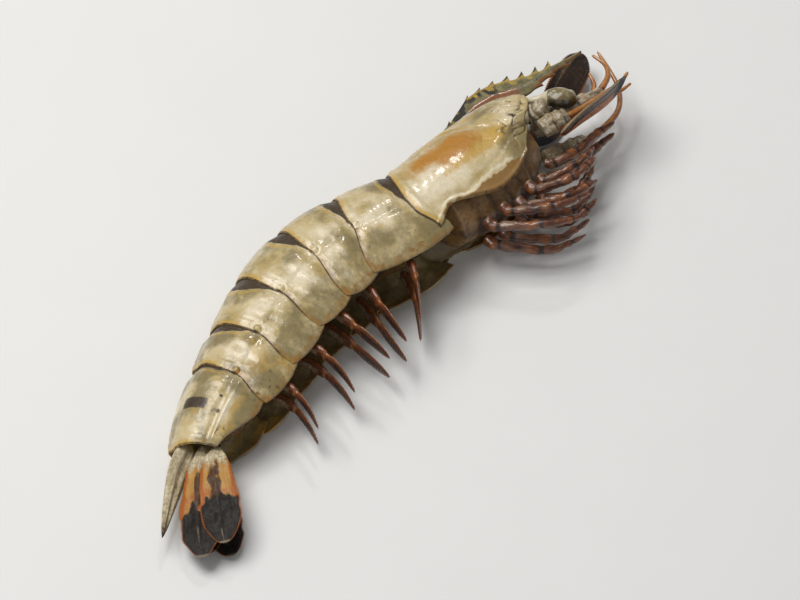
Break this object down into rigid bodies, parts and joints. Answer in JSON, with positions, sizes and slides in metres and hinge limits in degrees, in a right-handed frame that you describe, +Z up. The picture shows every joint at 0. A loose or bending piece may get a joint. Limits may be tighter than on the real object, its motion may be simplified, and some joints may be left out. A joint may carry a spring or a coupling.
{
  "type": "raw tiger prawn",
  "caption": "Whole raw tiger prawn lying on its left flank, tail curved to the belly, with banded shell plates, toothed spike, eyes, feelers, legs, swimmerets and a half-closed tail fan.",
  "frame": {"origin": "on the floor, under the middle of the prawn's bounding box", "axes": "+X from the tail to the head, +Y to the back's side with the belly to -Y, +Z up through the right flank"},
  "size_m": [0.1956, 0.0646, 0.024],
  "materials": {
    "shell": "wet translucent cream shell with dark brown bands at the joints",
    "flesh": "moist brown flesh under the shell",
    "dark_blade": "wet dark brown blades with orange edges",
    "legs": "wet red-brown legs and swimmerets",
    "whisker": "wet orange whiskers",
    "eye": "glossy black eye",
    "tail_fan": "wet tail fan, cream at the root, orange in the middle, black at the tips"
  },
  "bodies": {
    "root": {"carapace": "shell", "head_flesh": "flesh", "tail_flesh": "flesh", "segment_1": "shell", "segment_2": "shell", "segment_3": "shell", "segment_4": "shell", "segment_5": "shell", "segment_6": "shell", "telson": "tail_fan", "uropod_inner_right": "tail_fan", "uropod_inner_left": "tail_fan", "uropod_outer_right": "tail_fan", "uropod_outer_left": "tail_fan", "eye_right": "eye", "antennal_scale_right": "dark_blade", "antenna_base_right": "shell", "antennule_right": "dark_blade", "antenna_right": "whisker", "maxilliped_right": "legs", "walking_leg_1_right": "legs", "swimmeret_1_right": "legs", "walking_leg_2_right": "legs", "swimmeret_2_right": "legs", "walking_leg_3_right": "legs", "swimmeret_3_right": "legs", "walking_leg_4_right": "legs", "swimmeret_4_right": "legs", "walking_leg_5_right": "legs", "swimmeret_5_right": "legs", "eye_left": "eye", "antennal_scale_left": "dark_blade", "antenna_base_left": "shell", "antennule_left": "dark_blade", "antenna_left": "whisker", "maxilliped_left": "legs", "walking_leg_1_left": "legs", "swimmeret_1_left": "legs", "walking_leg_2_left": "legs", "swimmeret_2_left": "legs", "walking_leg_3_left": "legs", "swimmeret_3_left": "legs", "walking_leg_4_left": "legs", "swimmeret_4_left": "legs", "walking_leg_5_left": "legs", "swimmeret_5_left": "legs"}
  },
  "joints": []
}
